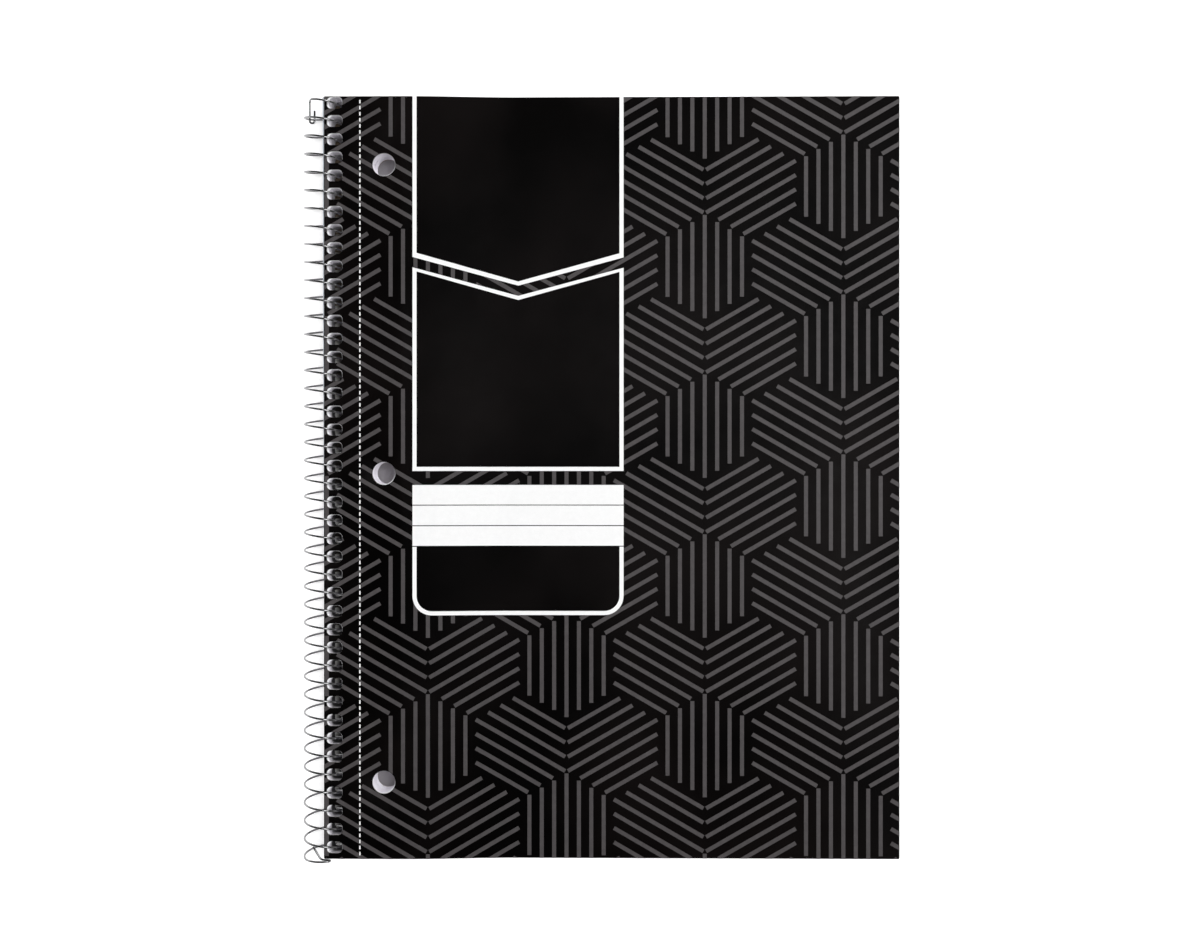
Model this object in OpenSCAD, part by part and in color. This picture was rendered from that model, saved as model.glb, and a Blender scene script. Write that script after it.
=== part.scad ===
// Spiral notebook lying closed on its back cover, front cover up, spine along -X.
// Millimetres, +Z up. The origin is on the surface it lies on, under the middle of the covers.

/* [Leaves] */
// Width of both covers, from the spine edge to the fore edge
cover_w = 201.2; // [180:0.2:230]
// Height of the covers and sheets, along the wire
cover_h = 266.7; // [200:0.1:300]
// Thickness of one cover
cover_t = 0.45; // [0.35:0.05:0.6]
// Number of sheets
sheet_count = 100; // [70:1:140]
// Thickness of one sheet
sheet_t = 0.094; // [0.085:0.001:0.11]
// Air between the sheets and each cover
leaf_gap = 0.08; // [0.06:0.01:0.12]
// How far the sheets stand out past the covers at the spine
sheet_proud = 0.7; // [0:0.05:0.8]
// How far the sheets stop short of the covers at the fore edge
sheet_inset = 0.6; // [0:0.1:3]

/* [Spine holes] */
// Distance between two holes of the row
hole_pitch = 6.35; // [6:0.05:8]
// Height of a hole along the spine
hole_h = 4.1; // [3.9:0.05:4.2]
// Corner radius of a hole
hole_corner = 1.5; // [1:0.05:1.6]
// Card left between the spine edge of a cover and its holes
edge_strip = 0.98; // [0.95:0.01:1.1]
// The same for the sheets, from the spine edge of the covers
sheet_strip = 1.75; // [1:0.05:2]
// Room between the wire and the far side of a hole
hole_gap = 0.14; // [0.1:0.02:0.6]
// How far each cover's row is set along the wire from the middle of the sheets
cover_shift = 0.9; // [0.85:0.01:1]
// The same for the row in the sheets
sheet_shift = 0.4; // [0:0.05:0.6]

/* [Ring holes] */
// Diameter of the three binder holes
ring_d = 8.0; // [6:0.1:9]
// Distance between two binder holes
ring_pitch = 107.95; // [70:0.05:120]
// From the spine edge of the covers to the binder holes
ring_inset = 21; // [17:0.5:26]
// How far the binder holes are set towards the head
ring_shift = 1.45; // [0:0.05:2]

/* [Spiral wire] */
// Diameter of the wire
wire_d = 0.72; // [0.6:0.02:0.76]
// From the outer face of a cover to the middle of the wire at the coil's top
coil_slack = 1.67; // [1.5:0.01:2.2]
// From the coil's axis to the spine edge of the covers
coil_lead = 0.97; // [0.9:0.01:1.1]
// Bend radius at the wire's two hooked ends
hook_bend = 1.1; // [0.8:0.05:1.4]
// Width of the hook at each end, between its two legs
hook_w = 1.7; // [1.5:0.1:2.2]
// Length of the hook that lies across the next turn
hook_len = 9.1; // [4:0.1:10]

/* [Lie of the leaves] */
// Length near the spine that lies level, held up by the coil
raised_len = 28; // [27:0.5:40]
// Length over which the leaves come down to the surface
drop_len = 40; // [30:1:60]

/* [Cover print] */
// Thickness of the printed layers
print_t = 0.03; // [0.02:0.005:0.05]
// Distance between neighbouring cells of the striped pattern
cell_pitch = 32.27; // [24:0.01:45]
// Distance between two bars of a cell
bar_pitch = 4.34; // [3:0.02:6]
// Width of a bar
bar_w = 1.4; // [0.8:0.02:2]
// Length of a cell's middle bar
bar_len = 36.15; // [20:0.05:50]
// Bars in one cell
bar_count = 7; // [3:2:9]
// From the middle of the cover to the middle of one cell with upright bars, across the cover
cell_x = 32.6; // [-20:0.1:40]
// The same, up the cover
cell_y = 73.85; // [-20:0.05:80]
// Width of the label panels
label_w = 73.8; // [60:0.2:90]
// Middle of the label panels, from the middle of the cover
label_x = -32.7; // [-40:0.1:0]
// Width of the panels' white border
border_w = 1.45; // [0.8:0.05:2.5]
// Lower shoulder of the top panel, from the middle of the cover
crest_y = 77.1; // [60:0.1:100]
// Drop from a panel's shoulder to its point
crest_drop = 9.8; // [4:0.1:16]
// Gap between the top panel and the middle panel
panel_gap = 3.6; // [1:0.1:8]
// Lower edge of the middle panel
middle_y = 2.3; // [0:0.1:20]
// Top of the three white name fields
name_y = -2.6; // [-10:0.1:-1]
// Height of one name field with its rule
name_step = 7.2; // [5:0.1:9]
// Width of the dark rule under a name field
name_rule = 0.32; // [0.2:0.02:0.8]
// Lower edge of the bottom panel
bottom_y = -48.2; // [-70:0.1:-35]
// Corner radius of the bottom panel
panel_r = 6.8; // [3:0.1:8]
// From the spine edge to the dashed line
perf_inset = 12.6; // [11:0.1:16]
// Length of one dash
dash_len = 1.25; // [0.5:0.05:1.6]
// Distance between two dashes
dash_pitch = 2.12; // [1.8:0.01:3]
// Width of the dashes
dash_w = 0.46; // [0.3:0.02:0.8]
// Least length of cover left past the first and the last dash
dash_margin = 1; // [0.5:0.1:5]

/* [Sheet ruling] */
// Distance between two ruled lines
rule_pitch = 7.14; // [6:0.02:9]
// Width of a ruled line
rule_w = 0.22; // [0.15:0.01:0.4]
// First ruled line, from the top edge of the sheet
rule_top = 22.5; // [15:0.5:35]
// Margin line, from the spine edge of the covers
margin_inset = 43; // [30:0.5:60]

/* [Hidden] */

// Facets of the round corners and the binder holes
hole_fn = 24;
ring_fn = 48;
// Straight pieces that make the drop of the leaves
drop_steps = 10;
// Rings in one turn of the wire, and sides of each ring
turn_steps = 16;
wire_sides = 6;
// How far a cutting shape runs past the face that it cuts
past = 1;
// How much wider a print is cut than the hole under it
print_relief = 0.12;
// From the coil's axis to the axis that the covers turn on, along X
hinge_u = 0.6;
// Air between the wire and the edge strip of a cover that is halfway round
hinge_gap = 0.165;
// Air between a cover that is turned right over and the hooks under it
hook_gap = 0.35;
// Air between the lower edge of the leaves and the wire that passes outside it
outside_gap = 0.3;
// Angles at which the coil gives way to its lower and its upper hook, in degrees
bottom_start = -284;
top_finish = 100;
// Corners of the hooks, as shares of the coil's radius from its axis
top_bend_u = -0.5;
top_bend_v = 0.9;
top_hook_u = -0.62;
bottom_bend_u = 0.46;
bottom_low_u = -0.05;
bottom_end_u = -0.45;
// How far the wire leans along the spine before the upper hook
top_lean = 0.2;
// How far the lower end drops before it bends
bottom_drop = 0.35;
// Straight pieces in each bend of a hook
hook_steps = 5;

wire_r = wire_d / 2;
spine_x = -cover_w / 2;
pages_t = sheet_count * sheet_t;
coil_x = spine_x - coil_lead;
coil_r = pages_t / 2 + leaf_gap + cover_t + coil_slack;
coil_z = coil_r + wire_r;
// Height of each face of the stack beside the coil
pages_low = coil_z - pages_t / 2;
pages_high = coil_z + pages_t / 2;
front_low = pages_high + leaf_gap;
back_low = pages_low - leaf_gap - cover_t;
raise = back_low;

hole_near_x = spine_x + edge_strip;
hole_far_x = coil_x + coil_r + wire_r + hole_gap;
hole_count = floor(cover_h / hole_pitch);
// The wire crosses the middle of the stack here in its lowest and highest hole
first_y = -(hole_count - 1) * hole_pitch / 2;
last_y = -first_y;
ring_x = spine_x + ring_inset;

// The leaves come down in short straight pieces, on a curve that starts and ends level
function drop_x(i) = spine_x + raised_len + drop_len * i / drop_steps;
function drop_share(i) = (1 + cos(180 * i / drop_steps)) / 2;
function lie(x) =
    let (s = drop_steps * (x - drop_x(0)) / drop_len,
         i = floor(s))
    s <= 0 ? 1
    : s >= drop_steps ? 0
    : drop_share(i) + (s - i) * (drop_share(i + 1) - drop_share(i));

// The x values at which a leaf between two edges changes direction
function bends(x0, x1) = concat([x0],
    [for (i = [0 : drop_steps]) if (drop_x(i) > x0 && drop_x(i) < x1) drop_x(i)],
    [x1]);

// One leaf: a plate of even thickness that follows the lie of the stack.
// low is the height of its lower side beside the coil.
module leaf(x0, x1, low, thick, height) {
    xs = bends(x0, x1);
    n = len(xs);
    function level(x) = low - raise * (1 - lie(x));
    rotate([90, 0, 0])
        linear_extrude(height = height, center = true)
            polygon(concat(
                [for (x = xs) [x, level(x)]],
                [for (i = [n - 1 : -1 : 0]) [xs[i], level(xs[i]) + thick]]));
}

// A rounded oblong as an area
module rounded_area(w, h, r) {
    square([w - 2 * r, h], center = true);
    square([w, h - 2 * r], center = true);
    for (sx = [-1, 1], sy = [-1, 1])
        translate([sx * (w / 2 - r), sy * (h / 2 - r)])
            circle(r = r, $fn = hole_fn);
}

// The row of holes for the wire, as an area. The holes start strip from the spine edge of the
// covers and are set along the spine by shift.
module spine_row(shift, strip, grow = 0) {
    near_x = spine_x + strip;
    for (i = [0 : hole_count - 1])
        translate([(near_x + hole_far_x) / 2, first_y + i * hole_pitch + shift])
            rounded_area(hole_far_x - near_x + 2 * grow, hole_h + 2 * grow, hole_corner + grow);
}

function ring_y(i) = ring_shift + i * ring_pitch;

module ring_row() {
    for (i = [-1 : 1])
        translate([ring_x, ring_y(i)])
            circle(d = ring_d, $fn = ring_fn);
}

// The same three places, a little wider, where a print stops short of the holes
module ring_relief() {
    r = ring_d / 2 + print_relief;
    for (i = [-1 : 1])
        translate([ring_x, ring_y(i)])
            polygon([for (k = [0 : ring_fn - 1]) r * [cos(360 * k / ring_fn), sin(360 * k / ring_fn)]]);
}

module punch(shift, strip) {
    translate([0, 0, -past])
        linear_extrude(height = pages_high + cover_t + 3 * past) {
            spine_row(shift, strip);
            ring_row();
        }
}

// The sheets, one solid as they lie
module page_block() {
    color([0.93, 0.93, 0.95])
        difference() {
            leaf(spine_x - sheet_proud, -spine_x - sheet_inset, pages_low, pages_t, cover_h);
            punch(sheet_shift, sheet_strip);
        }
}

module front_cover() {
    color([0.07, 0.06, 0.06])
        difference() {
            leaf(spine_x, -spine_x, front_low, cover_t, cover_h);
            punch(cover_shift, edge_strip);
        }
}

module back_cover() {
    color([0.45, 0.35, 0.26])
        difference() {
            leaf(spine_x, -spine_x, back_low, cover_t, cover_h);
            punch(-cover_shift, edge_strip);
        }
}

// The wire: one coil through every hole, and a hook at each end.
// u runs along X from the coil's axis and v up from it.

// Height of the axis that a cover turns on, from the coil's axis
hinge_v = sqrt(coil_r * coil_r - hinge_u * hinge_u)
    - (hole_near_x - coil_x - hinge_u) - wire_r - hinge_gap;
// Where the faces of a cover that is turned right over come to lie
turned_v = 2 * hinge_v - (front_low + cover_t - coil_z);
// The hooks lie under that cover
hook_v = turned_v - wire_r - hook_gap;
// The last half turn runs just outside the lower edge of the leaves
outside_y = -cover_h / 2 - wire_r - outside_gap;

function unit(a) = a / norm(a);
function coil_point(angle) = [
    coil_r * cos(angle),
    max(first_y + hole_pitch * angle / 360, outside_y),
    coil_r * sin(angle)];
function coil_angles(a0, a1) =
    let (n = ceil((a1 - a0) / (360 / turn_steps)))
    [for (i = [0 : n]) a0 + (a1 - a0) * i / n];

// A corner replaced by an even bend, as points from one leg to the other
function bend(a, b, c) =
    let (d = min(hook_bend, norm(a - b) / 2, norm(c - b) / 2),
         p = b + unit(a - b) * d,
         q = b + unit(c - b) * d)
    [for (i = [0 : hook_steps])
        let (s = i / hook_steps)
        (1 - s) * (1 - s) * p + 2 * s * (1 - s) * b + s * s * q];
function bent(corners) = [
    for (i = [1 : len(corners) - 2])
        each bend(corners[i - 1], corners[i], corners[i + 1])];

// The upper end dives under the turned cover and hooks back under the next turn
top_angle = 360 * (hole_count - 1) + top_finish;
top_from = coil_point(top_angle);
top_u = top_hook_u * coil_r;
top_corners = [
    top_from,
    [top_bend_u * coil_r, top_from[1] + top_lean, top_bend_v * coil_r],
    [top_u, top_from[1] + top_lean / 2, hook_v],
    [top_u, last_y + hole_pitch / 2 - hook_len, hook_v],
    [top_u + hook_w, last_y + hole_pitch / 2 - hook_len, hook_v],
    [top_u + hook_w, last_y - hole_pitch / 4, hook_v]];

// The lower end curls in outside the lower edge and comes back beside the spine
bottom_from = coil_point(bottom_start);
bottom_u = bottom_bend_u * coil_r;
bottom_v = bottom_from[2] - bottom_drop;
bottom_corners = [
    bottom_from,
    [bottom_u, outside_y, bottom_v],
    [bottom_u, outside_y, bottom_v - hook_w],
    [bottom_low_u * coil_r, outside_y, hook_v],
    [bottom_end_u * coil_r, outside_y + hook_len / 2, hook_v]];

function reversed(list) = [for (i = [len(list) - 1 : -1 : 0]) list[i]];
function last(list) = list[len(list) - 1];
function wire_points() = concat(
    [last(bottom_corners)],
    reversed(bent(bottom_corners)),
    [for (a = coil_angles(bottom_start, top_angle)) coil_point(a)],
    bent(top_corners),
    [last(top_corners)]);

// Sweep of a regular section along a line of points, with a section that does not twist
function tangents(p) = [
    for (i = [0 : len(p) - 1])
        unit(p[min(i + 1, len(p) - 1)] - p[max(i - 1, 0)])];
function flat_to(v, t) = unit(v - (v * t) * t);
function normals(t) = [
    for (i = 0, n = flat_to([0, 1, 0.1], t[0]);
         i < len(t);
         i = i + 1, n = i < len(t) ? flat_to(n, t[i]) : n)
        n];
module tube(p, r, sides) {
    t = tangents(p);
    n = normals(t);
    count = len(p);
    points = [
        for (i = [0 : count - 1], k = [0 : sides - 1])
            let (a = 360 * k / sides)
            p[i] + r * (cos(a) * n[i] + sin(a) * cross(t[i], n[i]))];
    walls = [
        for (i = [0 : count - 2], k = [0 : sides - 1])
            let (a = i * sides + k,
                 b = i * sides + (k + 1) % sides)
            each [[a, a + sides, b + sides], [a, b + sides, b]]];
    ends = [
        [for (k = [0 : sides - 1]) k],
        [for (k = [sides - 1 : -1 : 0]) (count - 1) * sides + k]];
    polyhedron(points = points, faces = concat(walls, ends), convexity = 10);
}

module spiral_wire() {
    color([0.78, 0.78, 0.8])
        translate([coil_x, 0, coil_z])
            tube(wire_points(), wire_r, wire_sides);
}

// Print on the front cover. Each layer is an area, laid on the cover's upper side.

module on_cover() {
    intersection() {
        leaf(spine_x, -spine_x, front_low + cover_t, print_t, cover_h);
        translate([0, 0, pages_high - raise])
            linear_extrude(height = raise + cover_t + 2 * past)
                children();
    }
}

// One cell: bars of even pitch, cut to a hexagon that stands on a corner
module cell_area(turn) {
    half = (bar_count - 1) / 2;
    rotate(turn)
        for (i = [-half : half])
            translate([i * bar_pitch, 0])
                square([bar_w, bar_len - 2 * abs(i) * bar_pitch * tan(30)], center = true);
}

// The outline of the three label panels
module top_panel_area(inset = 0) {
    w = label_w / 2 - inset;
    low = crest_y + inset;
    translate([label_x, 0])
        polygon([[-w, cover_h], [-w, low], [0, low - crest_drop], [w, low], [w, cover_h]]);
}

module middle_panel_area(inset = 0) {
    w = label_w / 2 - inset;
    high = crest_y - panel_gap - inset;
    low = middle_y + inset;
    translate([label_x, 0])
        polygon([[-w, high], [-w, low], [w, low], [w, high], [0, high - crest_drop]]);
}

name_low = name_y - 3 * name_step;

module bottom_panel_area(inset = 0) {
    w = label_w - 2 * inset;
    r = panel_r - inset;
    low = bottom_y + inset;
    translate([label_x, 0]) {
        translate([-w / 2, low + r])
            square([w, name_low - low - r]);
        translate([-w / 2 + r, low])
            square([w - 2 * r, r + past]);
        for (s = [-1, 1])
            translate([s * (w / 2 - r), low + r])
                circle(r = r, $fn = ring_fn);
    }
}

module name_fields_area() {
    translate([label_x - label_w / 2, name_low])
        square([label_w, name_y - name_low]);
}

// Rows and columns of cells that reach over the whole cover
cell_reach = ceil(max(cover_w, cover_h) / cell_pitch);
cell_rise = cell_pitch * cos(30);
cell_turns = [0, -60, 60];

function cell_at(q, r) = [cell_x + cell_pitch * (q + r / 2), cell_y + cell_rise * r];
// Neighbouring cells never have the same turn
function cell_turn(q, r) = cell_turns[(((2 * q + r) % 3) + 3) % 3];
function on_leaf(p) =
    abs(p[0]) < cover_w / 2 + bar_len / 2 && abs(p[1]) < cover_h / 2 + bar_len / 2;

module pattern_area() {
    difference() {
        intersection() {
            square([cover_w, cover_h], center = true);
            for (r = [-cell_reach : cell_reach], q = [-2 * cell_reach : 2 * cell_reach])
                if (on_leaf(cell_at(q, r)))
                    translate(cell_at(q, r))
                        cell_area(cell_turn(q, r));
        }
        top_panel_area();
        middle_panel_area();
        name_fields_area();
        bottom_panel_area();
        spine_row(cover_shift, edge_strip, print_relief);
        ring_relief();
        dashed_area(print_relief);
    }
}

module cover_pattern_print() {
    color([0.37, 0.35, 0.35]) on_cover() pattern_area();
}

module label_area() {
    difference() {
        top_panel_area();
        top_panel_area(border_w);
    }
    difference() {
        middle_panel_area();
        middle_panel_area(border_w);
    }
    for (i = [0 : 2])
        translate([label_x - label_w / 2, name_y - (i + 1) * name_step + name_rule])
            square([label_w, name_step - name_rule]);
    difference() {
        bottom_panel_area();
        bottom_panel_area(border_w);
    }
}

module cover_label_print() {
    color("white") on_cover() label_area();
}

dash_count = floor((cover_h - dash_len - 2 * dash_margin) / dash_pitch);

module dashed_area(grow = 0) {
    for (i = [0 : dash_count])
        translate([spine_x + perf_inset, (i - dash_count / 2) * dash_pitch])
            square([dash_w + 2 * grow, dash_len + 2 * grow], center = true);
}

module perforation_print() {
    color("white") on_cover() dashed_area();
}

// Ruling on the outer side of the first and the last sheet
rule_count = floor((cover_h - rule_top - rule_pitch / 2) / rule_pitch);

module rule_strip(low) {
    leaf(spine_x + perf_inset, -spine_x - sheet_inset, low, print_t, rule_w);
}

module page_ruling_print() {
    color([0.45, 0.62, 0.85])
        difference() {
            for (i = [0 : rule_count], low = [pages_high, pages_low - print_t])
                translate([0, cover_h / 2 - rule_top - i * rule_pitch, 0])
                    rule_strip(low);
            linear_extrude(height = pages_high + past)
                ring_relief();
        }
}

module page_margin_print() {
    margin_x = spine_x + margin_inset;
    color([0.86, 0.4, 0.45])
        for (low = [pages_high, pages_low - print_t])
            leaf(margin_x - rule_w / 2, margin_x + rule_w / 2, low, print_t, cover_h);
}

page_block();
front_cover();
back_cover();
spiral_wire();
cover_pattern_print();
cover_label_print();
perforation_print();
page_ruling_print();
page_margin_print();
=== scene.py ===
import math
import random

import bpy
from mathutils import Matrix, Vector, geometry


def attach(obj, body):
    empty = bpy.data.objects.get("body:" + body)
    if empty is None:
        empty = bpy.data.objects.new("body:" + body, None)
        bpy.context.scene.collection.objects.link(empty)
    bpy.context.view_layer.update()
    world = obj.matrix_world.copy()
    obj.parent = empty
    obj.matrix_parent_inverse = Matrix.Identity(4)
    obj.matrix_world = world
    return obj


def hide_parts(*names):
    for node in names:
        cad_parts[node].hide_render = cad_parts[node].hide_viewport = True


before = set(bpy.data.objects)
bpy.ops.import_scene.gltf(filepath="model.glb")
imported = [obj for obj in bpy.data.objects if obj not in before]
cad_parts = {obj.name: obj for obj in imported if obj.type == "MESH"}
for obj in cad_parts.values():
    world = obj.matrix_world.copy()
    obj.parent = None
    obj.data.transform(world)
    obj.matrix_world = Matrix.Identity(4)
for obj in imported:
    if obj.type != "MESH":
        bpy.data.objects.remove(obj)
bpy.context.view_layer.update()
MM = 0.001

# Sizes in millimetres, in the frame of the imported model
COVER_W = 201.2
COVER_H = 266.7
COVER_T = 0.45
SHEET_COUNT = 100
SHEET_T = 0.094
LEAF_GAP = 0.08
SHEET_PROUD = 0.7
SHEET_INSET = 0.6
HOLE_PITCH = 6.35
HOLE_COUNT = 42
HOLE_H = 4.1
HOLE_R = 1.5
HOLE_GAP = 0.14
COVER_STRIP = 0.98
SHEET_STRIP = 1.75
COVER_SHIFT = 0.9
SHEET_SHIFT = 0.4
RING_INSET = 21
RING_SHIFT = 1.45
RING_PITCH = 107.95
RING_R = 4.0
PERF_INSET = 12.6
DASH_PITCH = 2.12
WIRE_R = 0.36
COIL_SLACK = 1.67
COIL_LEAD = 0.97
HOOK_BEND = 1.1
HOOK_W = 1.7
HOOK_LEN = 9.1
HINGE_U = 0.6
HINGE_GAP = 0.165
HOOK_GAP = 0.35
OUTSIDE_GAP = 0.3
RAISED_LEN = 28
DROP_LEN = 40

# Angles at which the coil gives way to its lower and its upper hook, in degrees
BOTTOM_START = -284
TOP_FINISH = 100

# Corners of the hooks, as shares of the coil's radius from its axis
TOP_BEND_U = -0.5
TOP_BEND_V = 0.9
TOP_HOOK_U = -0.62
BOTTOM_BEND_U = 0.46
BOTTOM_LOW_U = -0.05
BOTTOM_END_U = -0.45

# How far the wire leans along the spine before the upper hook, and drops before the lower one
TOP_LEAN = 0.2
BOTTOM_DROP = 0.35

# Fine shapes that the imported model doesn't have, in millimetres
CARD_CORNER = 0.5
CARD_EDGE = 0.07
SHEET_CORNER = 0.25
SHEET_WORN = 0.42
SHEET_HOLE_GROW = -0.02
WIRE_END_LEN = 0.06
WIRE_END_R = 0.86 * WIRE_R

# Points along bends and round the wire
DROP_STEPS = 36
COIL_STEP_DEG = 7.5
WIRE_SIDES = 14

# Places that follow from the sizes
HALF_H = COVER_H / 2
SPINE_X = -COVER_W / 2
FORE_X = COVER_W / 2
PAGES_SPINE_X = SPINE_X - SHEET_PROUD
PAGES_FORE_X = FORE_X - SHEET_INSET
PAGES_T = SHEET_COUNT * SHEET_T
COIL_X = SPINE_X - COIL_LEAD
COIL_R = PAGES_T / 2 + LEAF_GAP + COVER_T + COIL_SLACK
COIL_Z = COIL_R + WIRE_R
PAGES_LOW = COIL_Z - PAGES_T / 2
BACK_LOW = PAGES_LOW - LEAF_GAP - COVER_T
FRONT_LOW = COIL_Z + PAGES_T / 2 + LEAF_GAP
RAISE = BACK_LOW
DROP_START = SPINE_X + RAISED_LEN
DROP_END = DROP_START + DROP_LEN
HOLE_FAR_X = COIL_X + COIL_R + WIRE_R + HOLE_GAP
FIRST_Y = -HOLE_PITCH * (HOLE_COUNT - 1) / 2
LAST_Y = -FIRST_Y
RING_X = SPINE_X + RING_INSET
PERF_X = SPINE_X + PERF_INSET
OUTSIDE_Y = -HALF_H - WIRE_R - OUTSIDE_GAP
HINGE_V = math.sqrt(COIL_R ** 2 - HINGE_U ** 2) - (COVER_STRIP + COIL_LEAD - HINGE_U) - WIRE_R - HINGE_GAP
HOOK_V = 2 * HINGE_V - (FRONT_LOW + COVER_T - COIL_Z) - WIRE_R - HOOK_GAP
TOP_ANGLE = 360 * (HOLE_COUNT - 1) + TOP_FINISH

# Where the long edges of a leaf get extra points: all through its bend, and a few on the flat
COLUMNS = [DROP_START + (DROP_END - DROP_START) * k / DROP_STEPS for k in range(DROP_STEPS + 1)]
COLUMNS += [0.0, 34.0, 67.0]
# A point lies on a column when it is this close to it
SAME_COLUMN = 1e-4

# Material slots: of a cover all three, of the sheets the first two, of the wire the first
FACE = 0
EDGE = 1
UNDERSIDE = 2

# Towards the head the painted shade in and under the wire holes gets paler, over this stretch of Y in
# millimetres
PALER_FROM = 30
PALER_TO = 115


# Geometry

def rise(x):
    """Share of the raise that a leaf still has at x: one beside the coil, none where it lies flat."""
    t = (x - DROP_START) / (DROP_END - DROP_START)
    t = min(max(t, 0.0), 1.0)
    return (1 + math.cos(math.pi * t)) / 2


def level(x, low):
    """Height at x of a leaf's underside that lies at low beside the coil."""
    return low - RAISE * (1 - rise(x))


def arc(cx, cy, r, start, steps):
    """Points of a quarter circle, counter-clockwise from the angle start."""
    return [(cx + r * math.cos(math.radians(start + 90 * k / steps)),
             cy + r * math.sin(math.radians(start + 90 * k / steps)))
            for k in range(steps + 1)]


def oblong(cx, cy, w, h, r, steps):
    """A rounded oblong as a closed loop."""
    x = w / 2 - r
    y = h / 2 - r
    return (arc(cx + x, cy + y, r, 0, steps) + arc(cx - x, cy + y, r, 90, steps)
            + arc(cx - x, cy - y, r, 180, steps) + arc(cx + x, cy - y, r, 270, steps))


def circle(cx, cy, r, steps):
    return [(cx + r * math.cos(2 * math.pi * k / steps), cy + r * math.sin(2 * math.pi * k / steps))
            for k in range(steps)]


def border(x0, x1, half, r, steps, skew=0.0):
    """Outline of a leaf with rounded corners, with the extra points on both long edges.

    At the foot its left edge lies skew further right than at the head.
    """
    head = [(x, half) for x in reversed(COLUMNS)]
    foot = [(x, -half) for x in COLUMNS]
    return (arc(x1 - r, half - r, r, 0, steps) + head + arc(x0 + r, half - r, r, 90, steps)
            + arc(x0 + skew + r, -half + r, r, 180, steps) + foot + arc(x1 - r, -half + r, r, 270, steps))


def closed(first, count):
    """Pairs of neighbours round a loop of count points that starts at the number first."""
    return [(first + k, first + (k + 1) % count) for k in range(count)]


class Skin:
    """Vertices and faces of one mesh, gathered loop by loop."""

    def __init__(self):
        self.verts = []
        self.faces = []
        self.slots = []

    def add_loop(self, points):
        """Vertices at the given places in millimetres. Gives their numbers."""
        first = len(self.verts)
        self.verts += [(x * MM, y * MM, z * MM) for x, y, z in points]
        return list(range(first, len(self.verts)))

    def leaf_loop(self, points, low, height):
        """A flat outline laid on a leaf, height above the underside that lies at low beside the coil."""
        return self.add_loop((x, y, level(x, low) + height) for x, y in points)

    def add_face(self, corners, slot):
        self.faces.append(corners)
        self.slots.append(slot)

    def bridge(self, a, b, slot, outward=True):
        """Quads from loop a up to loop b, which has as many points."""
        for k, m in closed(0, len(a)):
            quad = [a[k], a[m], b[m], b[k]]
            if not outward:
                quad.reverse()
            self.add_face(quad, slot)

    def cap(self, rim, holes, slot, up):
        """The flat side of a leaf: all that lies inside the loop rim and outside every hole."""
        ids = list(rim)
        edges = closed(0, len(rim))
        for hole in holes:
            edges += closed(len(ids), len(hole))
            ids += hole
        flat = [Vector((self.verts[i][0] / MM, self.verts[i][1] / MM)) for i in ids]
        for x in COLUMNS:
            ends = [k for k in range(len(rim)) if abs(flat[k].x - x) < SAME_COLUMN]
            if len(ends) == 2:
                edges.append(tuple(ends))
        triangles_to_hull = 0
        tolerance = 1e-6
        _, _, faces, origin, _, _ = geometry.delaunay_2d_cdt(flat, edges, [], triangles_to_hull, tolerance)
        in_holes = [set(hole) for hole in holes]
        for f in faces:
            tri = [ids[origin[k][0]] for k in f]
            if any(set(tri) <= hole for hole in in_holes):
                continue
            a, b, c = (self.verts[k] for k in tri)
            turn = (b[0] - a[0]) * (c[1] - a[1]) - (b[1] - a[1]) * (c[0] - a[0])
            if (turn > 0) != up:
                tri.reverse()
            self.add_face(tri, slot)

    def build(self, name, materials, smooth_angle):
        """The finished object, smooth wherever its faces meet at less than smooth_angle degrees."""
        mesh = bpy.data.meshes.new(name)
        mesh.from_pydata(self.verts, [], self.faces)
        for m in materials:
            mesh.materials.append(m)
        mesh.polygons.foreach_set("material_index", self.slots)
        mesh.polygons.foreach_set("use_smooth", [True] * len(self.faces))
        mesh.update()
        mesh.set_sharp_from_angle(angle=math.radians(smooth_angle))
        piece = bpy.data.objects.new(name, mesh)
        bpy.context.scene.collection.objects.link(piece)
        return piece


def wire_holes(strip, shift, grow, steps, drift=(0.0, 0.0), worn=0.0):
    """The row of holes for the wire, each as a loop that starts strip from the covers' spine edge.

    Each hole is longer by worn towards the head.
    """
    near_x = SPINE_X + strip
    middle_x = (near_x + HOLE_FAR_X) / 2 + drift[0]
    middle_y = FIRST_Y + shift + drift[1] + worn / 2
    return [oblong(middle_x, middle_y + k * HOLE_PITCH,
                   HOLE_FAR_X - near_x + 2 * grow, HOLE_H + worn + 2 * grow, HOLE_R + grow, steps)
            for k in range(HOLE_COUNT)]


def ring_holes(grow, steps, drift=(0.0, 0.0)):
    """The three round holes for a binder's rings."""
    return [circle(RING_X + drift[0], RING_SHIFT + k * RING_PITCH + drift[1], RING_R + grow, steps)
            for k in (-1, 0, 1)]


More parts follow.
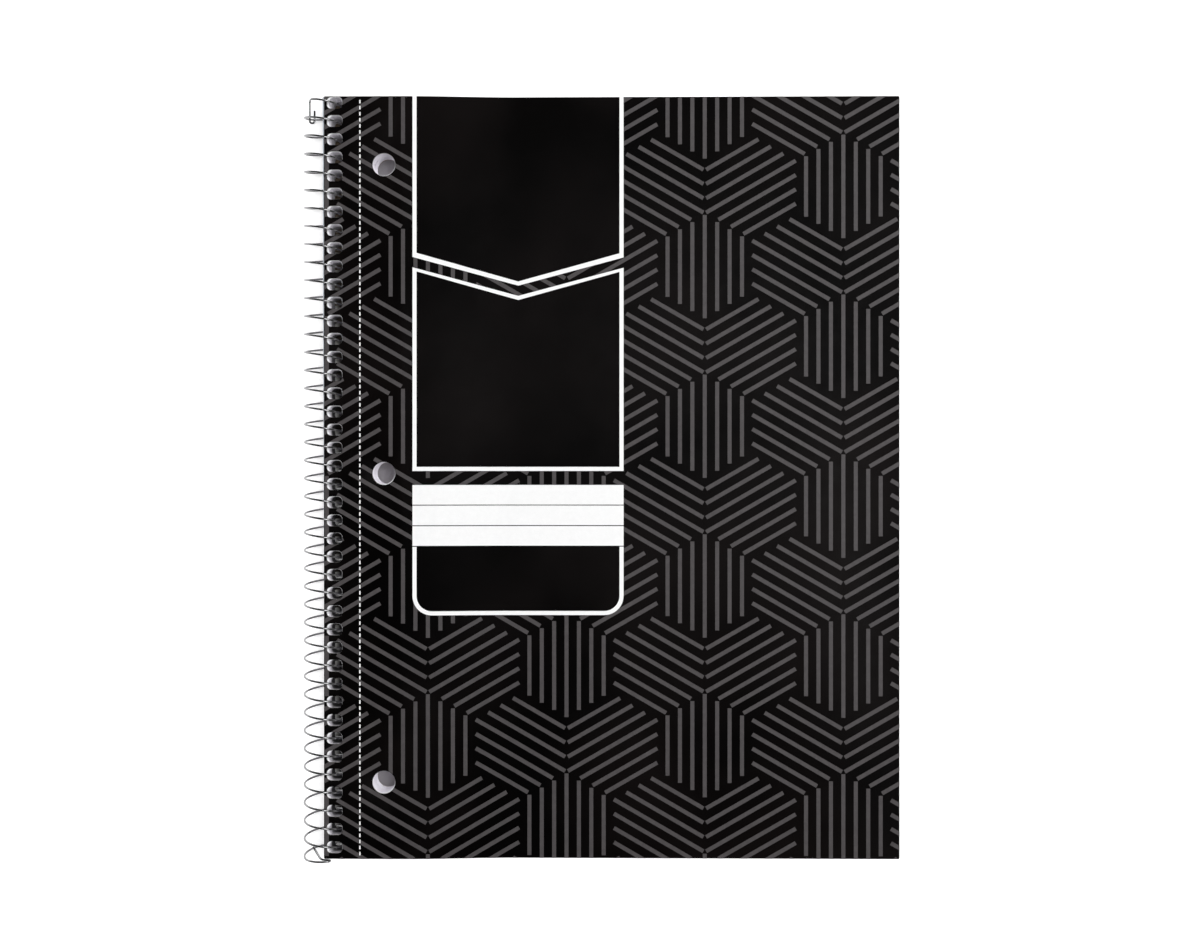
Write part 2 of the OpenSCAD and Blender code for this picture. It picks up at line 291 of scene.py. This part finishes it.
def card(name, low, shift, materials):
    """One cover: upper side, cut edge and underside, with all edges and the rims of the holes eased."""
    bevel = 0.3 * CARD_EDGE
    hole_share = 0.6
    rims = [(CARD_EDGE, 0.0), (bevel, bevel), (0.0, CARD_EDGE),
            (0.0, COVER_T - CARD_EDGE), (bevel, COVER_T - bevel), (CARD_EDGE, COVER_T)]
    skin = Skin()
    outer = []
    inner = []
    for inset, height in rims:
        outline = border(SPINE_X + inset, FORE_X - inset, HALF_H - inset, CARD_CORNER, steps=5)
        outer.append(skin.leaf_loop(outline, low, height))
        grow = hole_share * inset
        holes = wire_holes(COVER_STRIP, shift, grow, steps=6) + ring_holes(grow, steps=48)
        inner.append([skin.leaf_loop(hole, low, height) for hole in holes])
    for k, slot in enumerate((UNDERSIDE, EDGE, EDGE, EDGE, FACE)):
        skin.bridge(outer[k], outer[k + 1], slot)
        for a, b in zip(inner[k], inner[k + 1]):
            skin.bridge(a, b, slot, outward=False)
    skin.cap(outer[-1], inner[-1], FACE, up=True)
    skin.cap(outer[0], inner[0], UNDERSIDE, up=False)
    return skin.build(name, materials, smooth_angle=50)


def uneven(rng, sheet, base, scatter, wave, rate, phase=0):
    """An inset that differs from sheet to sheet, by chance and slowly through the stack."""
    return base + scatter * rng.random() + wave * math.sin(sheet * rate + phase)


def stack_outline(skin, rng):
    """The outer edge of the stack, sheet by sheet. Gives its lowest and its highest loop."""
    loops = []
    for k in range(SHEET_COUNT):
        spine_in = uneven(rng, k, base=0.03, scatter=0.05, wave=0.03, rate=0.21)
        fore_in = uneven(rng, k, base=0.09, scatter=0.09, wave=0.05, rate=0.13, phase=1)
        end_in = uneven(rng, k, base=0.08, scatter=0.07, wave=0.04, rate=0.17, phase=2)
        outline = border(PAGES_SPINE_X + spine_in, PAGES_FORE_X - fore_in, HALF_H - end_in,
                         SHEET_CORNER, steps=2, skew=SHEET_PROUD)
        loops += [skin.leaf_loop(outline, PAGES_LOW, n * SHEET_T) for n in (k, k + 1)]
    for a, b in zip(loops, loops[1:]):
        skin.bridge(a, b, EDGE)
    return loops[0], loops[-1]


def sway(rng, spread, phase):
    """A drift of up to spread each way by chance, and as much again by a slow wave."""
    return spread * (2 * rng.random() - 1) + spread * math.sin(phase)


def punched(skin, rng, lift, spread, holes_at):
    """The walls of punched holes, where lift sheets at a time went through the punch.

    holes_at gives the outlines of the holes for a drift of up to twice spread each way.
    Gives the lowest and the highest loops.
    """
    levels = []
    for k in range(0, SHEET_COUNT, lift):
        drift = (sway(rng, spread, phase=k * 0.11), sway(rng, spread, phase=k * 0.07 + 1))
        for n in (k, min(k + lift, SHEET_COUNT)):
            levels.append([skin.leaf_loop(hole, PAGES_LOW, n * SHEET_T) for hole in holes_at(drift)])
    for low, high in zip(levels, levels[1:]):
        for a, b in zip(low, high):
            skin.bridge(a, b, EDGE, outward=False)
    return levels[0], levels[-1]


def sheet_wire_holes(drift):
    """The sheets' wire holes. They drift half as far along the row as across it."""
    half_along = (drift[0], drift[1] * 0.5)
    return wire_holes(SHEET_STRIP, SHEET_SHIFT, SHEET_HOLE_GROW, steps=3, drift=half_along, worn=SHEET_WORN)


def sheet_ring_holes(drift):
    return ring_holes(grow=0.0, steps=36, drift=drift)


def page_stack(name, materials):
    """All sheets as they lie, each with its own edge, a little out of line with its neighbours."""
    seed = 7
    rng = random.Random(seed)
    skin = Skin()
    rim_low, rim_high = stack_outline(skin, rng)
    wire_low, wire_high = punched(skin, rng, lift=3, spread=0.07, holes_at=sheet_wire_holes)
    ring_low, ring_high = punched(skin, rng, lift=1, spread=0.1, holes_at=sheet_ring_holes)
    skin.cap(rim_low, wire_low + ring_low, FACE, up=False)
    skin.cap(rim_high, wire_high + ring_high, FACE, up=True)
    return skin.build(name, materials, smooth_angle=40)


def coil_point(angle):
    """A point of the coil. Below the foot of the leaves it stays just outside them."""
    a = math.radians(angle)
    y = max(FIRST_Y + HOLE_PITCH * angle / 360, OUTSIDE_Y)
    return Vector((COIL_R * math.cos(a), y, COIL_R * math.sin(a)))


def bend(a, b, c, steps=10):
    """The corner b between two legs, as an even bend."""
    d = min(HOOK_BEND, (a - b).length / 2, (c - b).length / 2)
    p = b + (a - b).normalized() * d
    q = b + (c - b).normalized() * d
    shares = [k / steps for k in range(steps + 1)]
    return [p * (1 - s) ** 2 + b * 2 * s * (1 - s) + q * s ** 2 for s in shares]


def bent(corners):
    """Bends at all corners but the first and the last."""
    points = []
    for k in range(1, len(corners) - 1):
        points += bend(corners[k - 1], corners[k], corners[k + 1])
    return points


def top_hook():
    """Corners of the upper end, which dives into the coil and hooks back under the next turn."""
    start = coil_point(TOP_ANGLE)
    u = TOP_HOOK_U * COIL_R
    turn_y = LAST_Y + HOLE_PITCH / 2 - HOOK_LEN
    return [start,
            Vector((TOP_BEND_U * COIL_R, start.y + TOP_LEAN, TOP_BEND_V * COIL_R)),
            Vector((u, start.y + TOP_LEAN / 2, HOOK_V)),
            Vector((u, turn_y, HOOK_V)),
            Vector((u + HOOK_W, turn_y, HOOK_V)),
            Vector((u + HOOK_W, LAST_Y - HOLE_PITCH / 4, HOOK_V))]


def bottom_hook():
    """Corners of the lower end, which curls in outside the foot edge and comes back beside the spine."""
    start = coil_point(BOTTOM_START)
    u = BOTTOM_BEND_U * COIL_R
    v = start.z - BOTTOM_DROP
    return [start,
            Vector((u, OUTSIDE_Y, v)),
            Vector((u, OUTSIDE_Y, v - HOOK_W)),
            Vector((BOTTOM_LOW_U * COIL_R, OUTSIDE_Y, HOOK_V)),
            Vector((BOTTOM_END_U * COIL_R, OUTSIDE_Y + HOOK_LEN / 2, HOOK_V))]


def wire_path():
    """Middle line of the wire from its lower end to its upper end, without points that nearly meet."""
    nearest = 0.05
    upper = top_hook()
    lower = bottom_hook()
    sweep = TOP_ANGLE - BOTTOM_START
    steps = round(sweep / COIL_STEP_DEG)
    coil = [coil_point(BOTTOM_START + sweep * k / steps) for k in range(steps + 1)]
    path = [lower[-1]]
    for p in bent(lower)[::-1] + coil + bent(upper) + [upper[-1]]:
        if (p - path[-1]).length > nearest:
            path.append(p)
    return [Vector((COIL_X + p.x, p.y, COIL_Z + p.z)) for p in path]


def wire_ring(centre, tangent, side, radius):
    """Points round the wire, square to its tangent, from the direction side on."""
    across = tangent.cross(side)
    angles = [2 * math.pi * j / WIRE_SIDES for j in range(WIRE_SIDES)]
    return [centre + (side * math.cos(a) + across * math.sin(a)) * radius for a in angles]


def wire(name, materials):
    """A round wire swept along its path, with both cut ends slightly bevelled."""
    path = wire_path()
    last = len(path) - 1
    tangents = [(path[min(k + 1, last)] - path[max(k - 1, 0)]).normalized() for k in range(last + 1)]
    side = tangents[0].orthogonal().normalized()
    skin = Skin()
    rings = [skin.add_loop(wire_ring(path[0], tangents[0], side, WIRE_END_R))]
    for k, tangent in enumerate(tangents):
        side = (side - tangent * side.dot(tangent)).normalized()
        inward = {0: WIRE_END_LEN, last: -WIRE_END_LEN}.get(k, 0.0)
        rings.append(skin.add_loop(wire_ring(path[k] + tangent * inward, tangent, side, WIRE_R)))
    rings.append(skin.add_loop(wire_ring(path[last], tangents[last], side, WIRE_END_R)))
    for a, b in zip(rings, rings[1:]):
        skin.bridge(a, b, FACE)
    skin.add_face(rings[0][::-1], FACE)
    skin.add_face(rings[-1], FACE)
    return skin.build(name, materials, smooth_angle=50)


# Materials

# The colour sockets of a mix node, which share their names with its other sockets
MIX_A = 6
MIX_B = 7
MIX_RESULT = 2


class Nodes:
    """Short ways to add nodes to a shader tree."""

    def __init__(self, tree, coordinates):
        self.tree = tree
        self.place = self.node("ShaderNodeTexCoord").outputs[coordinates]

    def plug(self, node, key, value):
        """Link an input of a node to another node's output, or set it to a plain value."""
        if isinstance(value, bpy.types.NodeSocket):
            self.tree.links.new(value, node.inputs[key])
        else:
            node.inputs[key].default_value = value

    def node(self, kind, inputs=None, **settings):
        """A new node of this kind, with its settings made first and its inputs next."""
        made = self.tree.nodes.new(kind)
        for key, value in settings.items():
            setattr(made, key, value)
        for key, value in (inputs or {}).items():
            self.plug(made, key, value)
        return made

    def math(self, operation, a, b=0.0, clamp=False):
        return self.node("ShaderNodeMath", {0: a, 1: b}, operation=operation, use_clamp=clamp).outputs[0]

    def product(self, first, *others):
        """All factors multiplied."""
        for factor in others:
            first = self.math("MULTIPLY", first, factor)
        return first

    def span(self, value, low, high, to_low=0.0, to_high=1.0):
        """to_low where the value is low, to_high where it is high or past it, and even in between."""
        node = self.node("ShaderNodeMapRange", {"Value": value, "From Min": low, "From Max": high,
                                                "To Min": to_low, "To Max": to_high})
        return node.outputs[0]

    def fade_in(self, place, start, end):
        """None up to start and one from end on, both in millimetres."""
        return self.span(place, start * MM, end * MM)

    def fade_out(self, place, start, end):
        """One up to start and none from end on, both in millimetres."""
        return self.span(place, start * MM, end * MM, 1.0, 0.0)

    def contrast(self, noise, to_low=0.0, to_high=1.0):
        """The middle of a noise's range, drawn out from to_low to to_high."""
        return self.span(noise, 0.3, 0.7, to_low, to_high)

    def axes(self):
        return self.node("ShaderNodeSeparateXYZ", {0: self.place}).outputs


class Look(Nodes):
    """A material with a principled shader. Its plain colour lies under whatever is painted on it."""

    def __init__(self, name, color, roughness, **sockets):
        self.material = bpy.data.materials.new(name)
        self.material.use_nodes = True
        super().__init__(self.material.node_tree, "Object")
        self.shader = self.tree.nodes["Principled BSDF"]
        self.shader.inputs["Base Color"].default_value = (*color, 1)
        self.shader.inputs["Roughness"].default_value = roughness
        for key, value in sockets.items():
            self.shader.inputs[key.replace("_", " ")].default_value = value

    def noise(self, grain, detail=3.0, roughness=0.55, distortion=0.0):
        """Noise whose grains are grain millimetres across, or grain[0] to grain[2] along the axes."""
        sizes = grain if isinstance(grain, tuple) else (grain, grain, grain)
        scale = tuple(1 / (size * MM) for size in sizes)
        place = self.node("ShaderNodeVectorMath", {0: self.place, 1: scale}, operation="MULTIPLY")
        node = self.node("ShaderNodeTexNoise", {"Vector": place.outputs[0], "Scale": 1.0, "Detail": detail,
                                                "Roughness": roughness, "Distortion": distortion})
        return node.outputs["Fac"]

    def mix(self, share, a, b):
        """The color a with a share of b in it. Each is three numbers or another node's output."""
        a, b = (c if isinstance(c, bpy.types.NodeSocket) else (*c, 1) for c in (a, b))
        node = self.node("ShaderNodeMix", {0: share, MIX_A: a, MIX_B: b}, data_type="RGBA")
        return node.outputs[MIX_RESULT]

    def bump(self, height, depth, strength=1.0, under=None):
        """Relief of depth millimetres, on top of the relief under."""
        inputs = {"Height": height, "Distance": depth * MM, "Strength": strength}
        if under:
            inputs["Normal"] = under
        return self.node("ShaderNodeBump", inputs).outputs[0]

    def paint(self, color):
        self.plug(self.shader, "Base Color", color)

    def rough(self, value):
        self.plug(self.shader, "Roughness", value)

    def relief(self, normal):
        self.plug(self.shader, "Normal", normal)


def edge_wear(look, width):
    """One close to the outer edge of a leaf, broken up by noise, and none further in."""
    x, y, _ = look.axes()
    from_side = look.math("SUBTRACT", FORE_X * MM, look.math("ABSOLUTE", x))
    from_end = look.math("SUBTRACT", HALF_H * MM, look.math("ABSOLUTE", y))
    near = look.math("MINIMUM", from_side, from_end)
    ragged = look.math("MULTIPLY", look.noise(1.1, detail=5, roughness=0.7), width * 1.6 * MM)
    return look.fade_in(look.math("SUBTRACT", ragged, near), -0.02 * width, 0.25 * width)


def row_of_holes(look, margin):
    """One in the band of the wire holes and up to margin beside it, and half of that at the head. It masks
    the painted shade there.
    """
    x, y, _ = look.axes()
    right_of = look.math("GREATER_THAN", x, (SPINE_X + SHEET_STRIP - margin) * MM)
    left_of = look.math("LESS_THAN", x, (HOLE_FAR_X + margin) * MM)
    off_ends = look.math("LESS_THAN", look.math("ABSOLUTE", y), (HALF_H - 0.5) * MM)
    paler = look.span(y, PALER_FROM * MM, PALER_TO * MM, 1.0, 0.5)
    return look.product(right_of, left_of, off_ends, paler)


def waves(look, size, depth):
    """Broad faint waves of a sheet of card."""
    return look.bump(look.noise(size, detail=2, roughness=0.4), depth)


def coated_card(look, tooth):
    """Relief of the coated card: faint waves, and a fine tooth of the given depth."""
    grain = look.noise(0.16, detail=4, roughness=0.65)
    look.relief(look.bump(grain, tooth, 0.8, under=waves(look, size=38, depth=0.12)))


def black_card():
    """Dark printed card with a satin coating: fine tooth, faint waves and pale wear at the edges."""
    dark = (0.0007, 0.0005, 0.0005)
    light = (0.0045, 0.0033, 0.0032)
    worn = (0.12, 0.115, 0.11)
    look = Look("card_print_black", (0.0015, 0.0012, 0.0012), 0.5, Specular_IOR_Level=0.04)
    cloud = look.noise(55, detail=3, roughness=0.5)
    color = look.mix(look.span(cloud, 0.38, 0.68), dark, light)
    look.paint(look.mix(look.product(edge_wear(look, width=0.12), 0.5), color, worn))
    look.rough(look.contrast(look.noise(5, detail=4, roughness=0.6), 0.45, 0.55))
    coated_card(look, tooth=0.004)
    return look.material


def card_core():
    """The pale inside of the card where it is cut."""
    dark = (0.36, 0.34, 0.32)
    light = (0.62, 0.6, 0.57)
    look = Look("card_core", (0.5, 0.48, 0.46), 0.85)
    fibre = look.noise((0.35, 0.35, 0.05), detail=4, roughness=0.7)
    look.paint(look.mix(look.contrast(fibre), dark, light))
    look.relief(look.bump(fibre, 0.02))
    return look.material


def card_inside():
    """The unprinted inner side of the front cover."""
    dark = (0.68, 0.67, 0.645)
    light = (0.78, 0.77, 0.75)
    soiled = (0.66, 0.65, 0.63)
    look = Look("card_inside", (0.74, 0.73, 0.7), 0.8)
    fibre = look.noise((0.22, 1.4, 1.0), detail=5, roughness=0.6, distortion=0.6)
    cloud = look.noise(9, detail=3, roughness=0.5)
    color = look.mix(look.contrast(fibre), dark, light)
    look.paint(look.mix(look.span(cloud, 0.3, 0.8, 0.0, 0.25), color, soiled))
    look.relief(look.bump(fibre, 0.012, 0.7, under=waves(look, size=40, depth=0.12)))
    return look.material


def back_board(painted_shade=0.0):
    """Brown-grey board of recycled fibre with light and dark flecks, and painted shade in the band of the
    wire holes when a share of it is given.
    """
    dark = (0.25, 0.18, 0.12)
    light = (0.36, 0.27, 0.185)
    grey = (0.29, 0.225, 0.165)
    dark_fleck = (0.13, 0.09, 0.06)
    light_fleck = (0.5, 0.42, 0.32)
    hole_shade = (0.02, 0.018, 0.018)
    look = Look("back_board", (0.3, 0.22, 0.15), 0.85)
    fibre = look.noise((0.16, 0.9, 0.6), detail=5, roughness=0.65, distortion=0.8)
    cloud = look.noise(7, detail=4, roughness=0.6)
    flecks = look.noise((0.35, 1.1, 0.7), detail=2, roughness=0.5, distortion=1.2)
    color = look.mix(look.contrast(fibre), dark, light)
    color = look.mix(look.span(cloud, 0.35, 0.75, 0.0, 0.45), color, grey)
    color = look.mix(look.span(flecks, 0.68, 0.76, 0.0, 0.7), color, dark_fleck)
    color = look.mix(look.span(flecks, 0.3, 0.24, 0.0, 0.5), color, light_fleck)
    # painted shade: the board darkened where the wire holes show it, weaker towards the head
    if painted_shade:
        color = look.mix(look.product(row_of_holes(look, margin=0.3), painted_shade), color, hole_shade)
    look.paint(color)
    look.relief(look.bump(fibre, 0.025, 0.8, under=waves(look, size=45, depth=0.15)))
    return look.material


def tear_slits(look):
    """One in the row of fine slits where a sheet tears off, and none elsewhere."""
    x, y, _ = look.axes()
    off = look.math("ABSOLUTE", look.math("SUBTRACT", x, PERF_X * MM))
    along = look.math("PINGPONG", y, DASH_PITCH / 2 * MM)
    return look.product(look.fade_out(off, 0.09, 0.14), look.fade_in(along, 0.24, 0.3))


def sheet_face():
    """White writing paper with slits to tear it off, with painted grey-blue shade where it stands past the
    cover.
    """
    dark = (0.815, 0.82, 0.85)
    light = (0.865, 0.87, 0.89)
    bluish = (0.82, 0.825, 0.86)
    slit_shade = (0.3, 0.3, 0.33)
    shade_dark = (0.2, 0.24, 0.29)
    shade_light = (0.62, 0.66, 0.7)
    look = Look("paper_sheet", (0.84, 0.845, 0.87), 0.9)
    fibre = look.noise((0.12, 0.5, 0.3), detail=4, roughness=0.65, distortion=0.5)
    cloud = look.noise(3.5, detail=4, roughness=0.6)
    slits = tear_slits(look)
    color = look.mix(look.contrast(fibre), dark, light)
    color = look.mix(look.span(cloud, 0.35, 0.7, 0.0, 0.3), color, bluish)
    color = look.mix(look.product(slits, 0.55), color, slit_shade)
    # painted shade: grey-blue on the sheets where they stand past the cover's spine edge
    bare = look.fade_out(look.axes()[0], SPINE_X + 0.02, SPINE_X + 0.06)
    painted_shade = look.mix(look.noise(2.2, detail=3, roughness=0.6), shade_dark, shade_light)
    look.paint(look.mix(look.product(bare, 0.85), color, painted_shade))
    tooth = look.bump(fibre, 0.008, 0.7, under=look.bump(cloud, 0.03, 0.6))
    look.relief(look.bump(look.math("SUBTRACT", 1.0, slits), 0.05, 0.8, under=tooth))
    return look.material


def sheet_edge():
    """The cut edges of the stack: each sheet a touch lighter or darker, and painted shade deep in the wire
    holes.
    """
    dark = (0.82, 0.79, 0.86)
    light = (0.96, 0.94, 0.985)
    grey = (0.8, 0.79, 0.82)
    deep_shade = (0.02, 0.018, 0.02)
    shade_from = PAGES_LOW + PAGES_T - 1.0
    shade_full = PAGES_LOW + PAGES_T - 5.2
    look = Look("paper_edge", (0.86, 0.85, 0.88), 0.92)
    strata = look.noise((14.0, 14.0, SHEET_T * 1.3), detail=2, roughness=0.6)
    fibre = look.noise(0.12, detail=4, roughness=0.7)
    color = look.mix(look.contrast(strata), dark, light)
    color = look.mix(look.span(fibre, 0.3, 0.75, 0.0, 0.25), color, grey)
    # painted shade, darker with depth down the walls of the wire holes
    depth = look.span(look.axes()[2], shade_full * MM, shade_from * MM, 0.97, 0.0)
    look.paint(look.mix(look.product(row_of_holes(look, margin=0.4), depth), color, deep_shade))
    look.relief(look.bump(strata, 0.03, 0.6, under=look.bump(fibre, 0.01, 0.5)))
    return look.material


def ink(name, dark, light, roughness, tooth=0.004):
    """A printed layer: slightly uneven, with the tooth of what lies under it."""
    look = Look(name, light, roughness, Specular_IOR_Level=0.2)
    patches = look.noise(1.6, detail=4, roughness=0.65)
    grain = look.noise(0.22, detail=3, roughness=0.6)
    look.paint(look.mix(look.span(look.product(patches, grain), 0.12, 0.4), dark, light))
    coated_card(look, tooth)
    return look.material


def steel():
    """Bright drawn wire, with fine lines and a little unevenness from coiling."""
    dark = (0.25, 0.25, 0.255)
    light = (0.35, 0.35, 0.355)
    look = Look("wire_steel", (0.3, 0.3, 0.305), 0.1, Metallic=1.0)
    smear = look.noise(0.5, detail=3, roughness=0.6)
    fine = look.noise(0.07, detail=3, roughness=0.6)
    look.paint(look.mix(look.contrast(smear), dark, light))
    look.rough(look.contrast(look.noise(0.9, detail=4, roughness=0.6), 0.08, 0.14))
    look.relief(look.bump(fine, 0.004, 0.4, under=look.bump(smear, 0.02, 0.5)))
    return look.material


# Pieces

stack = page_stack("page_stack", [sheet_face(), sheet_edge()])
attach(stack, "book")
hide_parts("page_block")

front = card("front_card", FRONT_LOW, COVER_SHIFT, [black_card(), card_core(), card_inside()])
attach(front, "front")
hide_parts("front_cover")

board_look = back_board()
# the upper side of the back board carries painted shade under the wire holes
back = card("back_card", BACK_LOW, -COVER_SHIFT, [back_board(painted_shade=0.95), board_look, board_look])
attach(back, "back")
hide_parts("back_cover")

coil = wire("coil_wire", [steel()])
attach(coil, "book")
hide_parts("spiral_wire")

white_ink = ink("label_ink", (0.86, 0.86, 0.86), (0.91, 0.91, 0.91), roughness=0.5)
grey_ink = ink("pattern_ink", (0.05, 0.045, 0.0465), (0.072, 0.0655, 0.067), roughness=0.5)
blue_ink = ink("ruling_ink", (0.2, 0.36, 0.62), (0.3, 0.46, 0.72), roughness=0.8, tooth=0.008)
red_ink = ink("margin_ink", (0.66, 0.16, 0.22), (0.78, 0.26, 0.3), roughness=0.8, tooth=0.008)
PRINTS = {
    "cover_pattern_print": grey_ink,
    "cover_label_print": white_ink,
    "perforation_print": white_ink,
    "page_ruling_print": blue_ink,
    "page_margin_print": red_ink,
}
for node, look in PRINTS.items():
    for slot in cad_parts[node].material_slots:
        slot.material = look


# Floor, light and camera

def under_holes(look):
    """One on the floor that only the holes show, in the shade of the sheets, and none elsewhere."""
    x, y, _ = look.axes()
    from_spine = look.fade_in(x, SPINE_X + 1.5, SPINE_X + 3)
    to_rings = look.fade_out(x, RING_X + 6, RING_X + 9)
    off_ends = look.fade_out(look.math("ABSOLUTE", y), HALF_H - 3, HALF_H - 1)
    return look.product(from_spine, to_rings, off_ends)


def floor_glow(look):
    """White to the camera and in gloss, outside the notebook. Close by it is weaker, and shadow stays."""
    side = (99.5, 101.5)
    end = (132.5, 134.5)
    near = 350
    far = 1300
    least = 0.42
    x, y, _ = look.axes()
    path = look.node("ShaderNodeLightPath").outputs
    seen = look.math("ADD", path["Is Camera Ray"], path["Is Glossy Ray"])
    seen = look.math("ADD", seen, path["Is Transmission Ray"], clamp=True)
    past_side = look.fade_in(look.math("ABSOLUTE", x), *side)
    past_end = look.fade_in(look.math("ABSOLUTE", y), *end)
    outside = look.math("MAXIMUM", past_side, past_end)
    away = look.node("ShaderNodeVectorMath", {0: look.place}, operation="LENGTH").outputs["Value"]
    return look.product(seen, outside, look.span(away, near * MM, far * MM, least, 1.0))


def floor():
    """The white ground that the notebook lies on, just under it."""
    white = (0.88, 0.88, 0.88)
    wire_shade = (0.08, 0.075, 0.08)
    head_shade = (0.34, 0.3, 0.28)
    ring_shade = (0.4, 0.38, 0.41)
    half = 3000 * MM
    low = -0.05 * MM
    look = Look("floor_white", white, 0.9, Specular_IOR_Level=0.0)
    x, y, _ = look.axes()
    shade = look.mix(look.fade_in(y, PALER_FROM, PALER_TO), wire_shade, head_shade)
    shade = look.mix(look.fade_in(x, HOLE_FAR_X + 2, HOLE_FAR_X + 6), shade, ring_shade)
    look.paint(look.mix(under_holes(look), white, shade))
    look.plug(look.shader, "Emission Color", (1, 1, 1, 1))
    look.plug(look.shader, "Emission Strength", floor_glow(look))
    mesh = bpy.data.meshes.new("floor")
    mesh.from_pydata([(-half, -half, low), (half, -half, low), (half, half, low), (-half, half, low)],
                     [], [(0, 1, 2, 3)])
    mesh.materials.append(look.material)
    plane = bpy.data.objects.new("floor", mesh)
    bpy.context.scene.collection.objects.link(plane)


def sky():
    """White to the camera. As light it is bright near the horizon and dim overhead."""
    world = bpy.data.worlds.new("studio")
    bpy.context.scene.world = world
    world.use_nodes = True
    nodes = Nodes(world.node_tree, "Generated")
    shine = nodes.tree.nodes["Background"]
    bright_to = 0.12
    dim_from = 0.3
    dim = 0.03
    light = nodes.span(nodes.axes()[2], bright_to, dim_from, 1.0, dim)
    seen = nodes.node("ShaderNodeLightPath").outputs["Is Camera Ray"]
    nodes.plug(shine, "Strength", nodes.math("MAXIMUM", light, seen))
    nodes.plug(shine, "Color", (1, 1, 1, 1))


def area_light(name, place, target, size, power, in_gloss=True):
    """A rectangular lamp, with its places and size in metres and its power in watts."""
    data = bpy.data.lights.new(name, "AREA")
    data.shape = "RECTANGLE"
    data.size, data.size_y = size
    data.energy = power
    lamp = bpy.data.objects.new(name, data)
    lamp.location = place
    lamp.rotation_euler = (Vector(target) - Vector(place)).to_track_quat("-Z", "Y").to_euler()
    lamp.visible_glossy = in_gloss
    bpy.context.scene.collection.objects.link(lamp)


def photo_camera():
    """The photo's view, almost straight down, with a place in metres and a lean in radians."""
    data = bpy.data.cameras.new("camera")
    data.sensor_width = 36
    data.lens = 38.96
    data.clip_start = 0.01
    camera = bpy.data.objects.new("camera", data)
    camera.location = (0.00154, 0.00492, 0.46546)
    camera.rotation_euler = (0, 0.01233, 0)
    bpy.context.scene.collection.objects.link(camera)
    bpy.context.scene.camera = camera


floor()
sky()
lit = (-0.05, 0, 0)
area_light("key", place=(0.43, 0.2, 1.2), target=lit, size=(1.1, 0.5), power=11)
area_light("overhead", place=(-0.1, 0.1, 1.3), target=lit, size=(1.4, 1.4), power=11, in_gloss=False)
photo_camera()
bpy.context.scene.view_settings.view_transform = "Standard"
